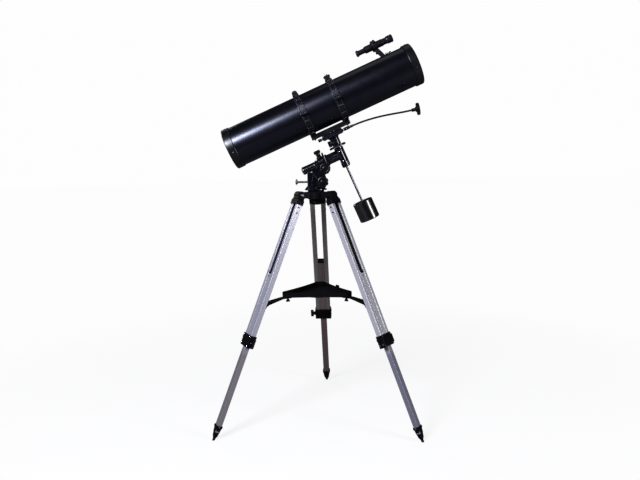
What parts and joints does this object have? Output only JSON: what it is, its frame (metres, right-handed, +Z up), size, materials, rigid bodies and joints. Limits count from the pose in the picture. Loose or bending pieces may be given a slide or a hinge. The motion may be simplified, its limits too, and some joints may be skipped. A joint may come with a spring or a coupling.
{
  "type": "telescope on tripod",
  "caption": "Newtonian reflector on a German equatorial mount and folding tripod, with slow-motion controls, counterweight, finder and tray.",
  "frame": {"origin": "on the floor under the middle of the object's bounding box", "axes": "+Z up; the tube lies in the XZ plane and rises towards +X; +Y is the side of the focuser and the rear leg"},
  "size_m": [0.8875, 0.7627, 1.6178],
  "materials": {
    "tube_black": "gloss black baked paint",
    "trim_black": "semi-gloss black paint",
    "mount_black": "gloss black enamel on castings",
    "head_silver": "bare cast aluminium",
    "leg_aluminium": "satin anodised",
    "lower_leg_aluminium": "darker satin anodised",
    "black_plastic": "moulded black plastic",
    "knob_plastic": "gloss black plastic",
    "chrome_steel": "chromed steel",
    "steel": "turned steel",
    "bronze": "machined bronze",
    "cable_black": "black rubber sheath",
    "mirror": "aluminised glass"
  },
  "bodies": {
    "tripod": {"tripod_hub": "mount_black", "pivot_bolts": "chrome_steel"},
    "leg_left": {"leg_head_left": "black_plastic", "leg_rails_left": "leg_aluminium", "leg_clamp_left": "black_plastic"},
    "lower_leg_left": {"inner_leg_left": "lower_leg_aluminium", "foot_left": "black_plastic"},
    "clamp_knob_left": {"clamp_knob_left": "knob_plastic"},
    "tray_arm_left": {"tray_arm_left": "black_plastic"},
    "leg_right": {"leg_head_right": "black_plastic", "leg_rails_right": "leg_aluminium", "leg_clamp_right": "black_plastic"},
    "lower_leg_right": {"inner_leg_right": "lower_leg_aluminium", "foot_right": "black_plastic"},
    "clamp_knob_right": {"clamp_knob_right": "knob_plastic"},
    "tray_arm_right": {"tray_arm_right": "black_plastic"},
    "leg_rear": {"leg_head_rear": "black_plastic", "leg_rails_rear": "leg_aluminium", "leg_clamp_rear": "black_plastic"},
    "lower_leg_rear": {"inner_leg_rear": "lower_leg_aluminium", "foot_rear": "black_plastic"},
    "clamp_knob_rear": {"clamp_knob_rear": "knob_plastic"},
    "tray_arm_rear": {"tray_arm_rear": "black_plastic"},
    "tray": {"tray": "black_plastic"},
    "mount_base": {"azimuth_fork": "mount_black"},
    "latitude_bolt": {"latitude_bolt": "chrome_steel"},
    "latitude_lock": {"latitude_lock": "knob_plastic"},
    "polar_housing": {"ra_housing": "mount_black"},
    "ra_worm": {"ra_worm": "steel", "ra_control": "knob_plastic"},
    "ra_lock": {"ra_lock": "knob_plastic"},
    "ra_circle": {"ra_circle": "trim_black"},
    "ra_axis": {"polar_shaft": "steel", "dec_housing": "mount_black", "dec_wheel": "bronze", "counterweight_bar": "chrome_steel"},
    "dec_circle": {"dec_circle": "trim_black"},
    "counterweight": {"counterweight": "trim_black"},
    "counterweight_lock": {"counterweight_lock": "knob_plastic"},
    "saddle": {"dec_head": "head_silver", "dec_shaft": "steel", "saddle_bar": "trim_black", "ring_cradles": "trim_black", "dec_cable": "cable_black"},
    "dec_lock": {"dec_lock": "knob_plastic"},
    "dec_worm": {"dec_worm": "steel"},
    "dec_knob": {"dec_knob": "knob_plastic"},
    "ring_strap_rear": {"ring_strap_rear": "trim_black"},
    "ring_strap_front": {"ring_strap_front": "trim_black"},
    "tube": {"optical_tube": "tube_black", "front_ring": "trim_black", "rear_cell": "trim_black", "primary_mirror": "mirror", "spider": "trim_black", "secondary_mirror": "mirror", "focuser_body": "trim_black", "finder_bracket": "trim_black", "finder_scope": "trim_black"},
    "focuser_draw": {"focuser_drawtube": "chrome_steel"},
    "focuser_pinion": {"focuser_pinion": "knob_plastic"}
  },
  "joints": [
    {"name": "leg_left_fold", "type": "hinge", "parent": "tripod", "child": "leg_left", "pos_m": [-0.0719, -0.13578, 0.965], "axis": [0.4399, -0.898, 0], "range_deg": [0, 18]},
    {"name": "leg_left_extend", "type": "slide", "parent": "leg_left", "child": "lower_leg_left", "axis": [-0.349, -0.171, -0.9214], "range_m": [-0.28, 0]},
    {"name": "clamp_knob_left_turn", "type": "hinge", "parent": "leg_left", "child": "clamp_knob_left", "pos_m": [-0.26978, -0.28839, 0.38452], "axis": [0.4399, -0.898, 0], "range_deg": [-90, 90]},
    {"name": "tray_arm_left_fold", "type": "hinge", "parent": "leg_left", "child": "tray_arm_left", "pos_m": [-0.21834, -0.20752, 0.52694], "axis": [-0.4399, 0.898, 0], "range_deg": [0, 108]},
    {"name": "leg_right_fold", "type": "hinge", "parent": "tripod", "child": "leg_right", "pos_m": [0.05684, -0.14455, 0.965], "axis": [0.5577, 0.83, 0], "range_deg": [0, 18]},
    {"name": "leg_right_extend", "type": "slide", "parent": "leg_right", "child": "lower_leg_right", "axis": [0.3226, -0.2168, -0.9214], "range_m": [-0.28, 0]},
    {"name": "clamp_knob_right_turn", "type": "hinge", "parent": "leg_right", "child": "clamp_knob_right", "pos_m": [0.28795, -0.23961, 0.38452], "axis": [0.5577, 0.83, 0], "range_deg": [-90, 90]},
    {"name": "tray_arm_right_fold", "type": "hinge", "parent": "leg_right", "child": "tray_arm_right", "pos_m": [0.19218, -0.2355, 0.52694], "axis": [-0.5577, -0.83, 0], "range_deg": [0, 108]},
    {"name": "leg_rear_fold", "type": "hinge", "parent": "tripod", "child": "leg_rear", "pos_m": [0.00007, -0.02867, 0.965], "axis": [-0.9977, 0.068, 0], "range_deg": [0, 18]},
    {"name": "leg_rear_extend", "type": "slide", "parent": "leg_rear", "child": "lower_leg_rear", "axis": [0.0264, 0.3877, -0.9214], "range_m": [-0.28, 0]},
    {"name": "clamp_knob_rear_turn", "type": "hinge", "parent": "leg_rear", "child": "clamp_knob_rear", "pos_m": [-0.03316, 0.21901, 0.38452], "axis": [-0.9977, 0.068, 0], "range_deg": [-90, 90]},
    {"name": "tray_arm_rear_fold", "type": "hinge", "parent": "leg_rear", "child": "tray_arm_rear", "pos_m": [0.01116, 0.13402, 0.52694], "axis": [0.9977, -0.068, 0], "range_deg": [0, 108]},
    {"name": "tray_off", "type": "slide", "parent": "tripod", "child": "tray", "axis": [0, -1, 0], "range_m": [0, 0.345]},
    {"name": "azimuth", "type": "hinge", "parent": "tripod", "child": "mount_base", "pos_m": [-0.005, -0.103, 0.985], "axis": [0, 0, 1], "continuous": true},
    {"name": "latitude_bolt_turn", "type": "hinge", "parent": "mount_base", "child": "latitude_bolt", "pos_m": [-0.065, -0.103, 1.019], "axis": [1, 0, 0], "range_deg": [-90, 90]},
    {"name": "latitude_lock_turn", "type": "hinge", "parent": "mount_base", "child": "latitude_lock", "pos_m": [0.0227, -0.103, 1.019], "axis": [0, -1, 0], "range_deg": [-60, 60]},
    {"name": "altitude", "type": "hinge", "parent": "mount_base", "child": "polar_housing", "pos_m": [0.0227, -0.103, 1.019], "axis": [0, -1, 0], "range_deg": [-20, 12]},
    {"name": "right_ascension", "type": "hinge", "parent": "polar_housing", "child": "ra_axis", "pos_m": [0.10198, -0.103, 1.13169], "axis": [0.918, 0, 0.3965], "range_deg": [-90, 58]},
    {"name": "ra_slow_motion", "type": "hinge", "parent": "polar_housing", "child": "ra_worm", "pos_m": [0.03095, -0.103, 1.07421], "axis": [0, -1, 0], "range_deg": [-9000, 5800]},
    {"name": "ra_lock_turn", "type": "hinge", "parent": "polar_housing", "child": "ra_lock", "pos_m": [0.0093, -0.103, 1.12433], "axis": [-0.3965, 0, 0.918], "range_deg": [-90, 90]},
    {"name": "ra_circle_slip", "type": "hinge", "parent": "polar_housing", "child": "ra_circle", "pos_m": [0.03221, -0.103, 1.10155], "axis": [0.918, 0, 0.3965], "continuous": true},
    {"name": "dec_circle_slip", "type": "hinge", "parent": "ra_axis", "child": "dec_circle", "pos_m": [0.0881, -0.103, 1.16382], "axis": [-0.3965, 0, 0.918], "continuous": true},
    {"name": "counterweight_slide", "type": "slide", "parent": "ra_axis", "child": "counterweight", "axis": [-0.3965, 0, 0.918], "range_m": [0, 0.15]},
    {"name": "counterweight_lock_turn", "type": "hinge", "parent": "counterweight", "child": "counterweight_lock", "pos_m": [0.20785, -0.058, 0.88657], "axis": [0, 1, 0], "range_deg": [-90, 90]},
    {"name": "declination", "type": "hinge", "parent": "ra_axis", "child": "saddle", "pos_m": [0.0203, -0.103, 1.3208], "axis": [-0.3965, 0, 0.918], "continuous": true},
    {"name": "dec_lock_turn", "type": "hinge", "parent": "saddle", "child": "dec_lock", "pos_m": [0.06369, -0.11843, 1.17397], "axis": [-0.7033, -0.6428, -0.3037], "range_deg": [-90, 90]},
    {"name": "dec_slow_motion", "type": "hinge", "parent": "saddle", "child": "dec_worm", "pos_m": [0.06828, -0.1276, 1.20972], "axis": [0.918, 0, 0.3965], "continuous": true},
    {"name": "dec_knob_turn", "type": "hinge", "parent": "saddle", "child": "dec_knob", "pos_m": [0.40841, -0.14354, 1.30341], "axis": [0.9788, -0.097, 0.1803], "continuous": true},
    {"name": "ring_rear_open", "type": "hinge", "parent": "saddle", "child": "ring_strap_rear", "pos_m": [-0.0458, -0.2005, 1.29225], "axis": [0.918, 0, 0.3965], "range_deg": [0, 100]},
    {"name": "ring_front_open", "type": "hinge", "parent": "saddle", "child": "ring_strap_front", "pos_m": [0.08915, -0.2005, 1.35054], "axis": [0.918, 0, 0.3965], "range_deg": [0, 100]},
    {"name": "tube_roll", "type": "hinge", "parent": "saddle", "child": "tube", "pos_m": [0.0203, -0.103, 1.3208], "axis": [0.918, 0, 0.3965], "range_deg": [-45, 90]},
    {"name": "focus", "type": "slide", "parent": "tube", "child": "focuser_draw", "axis": [0, 1, 0], "range_m": [-0.007, 0.035]},
    {"name": "focus_knob", "type": "hinge", "parent": "tube", "child": "focuser_pinion", "pos_m": [0.30602, 0.004, 1.41588], "axis": [-0.918, 0, -0.3965], "range_deg": [-65, 310]}
  ],
  "couplings": [
    {"joint": "tray_arm_left_fold", "follows": "leg_left_fold", "ratio": 6},
    {"joint": "tray_arm_right_fold", "follows": "leg_left_fold", "ratio": 6},
    {"joint": "leg_right_fold", "follows": "leg_left_fold", "ratio": 1},
    {"joint": "tray_arm_rear_fold", "follows": "leg_left_fold", "ratio": 6},
    {"joint": "leg_rear_fold", "follows": "leg_left_fold", "ratio": 1},
    {"joint": "tray_off", "follows": "leg_left_fold", "m_per_rad": 1.0886},
    {"joint": "ra_slow_motion", "follows": "right_ascension", "ratio": 100},
    {"joint": "dec_slow_motion", "follows": "declination", "ratio": 100},
    {"joint": "dec_knob_turn", "follows": "declination", "ratio": 100},
    {"joint": "focus_knob", "follows": "focus", "rad_per_m": 153.85}
  ]
}
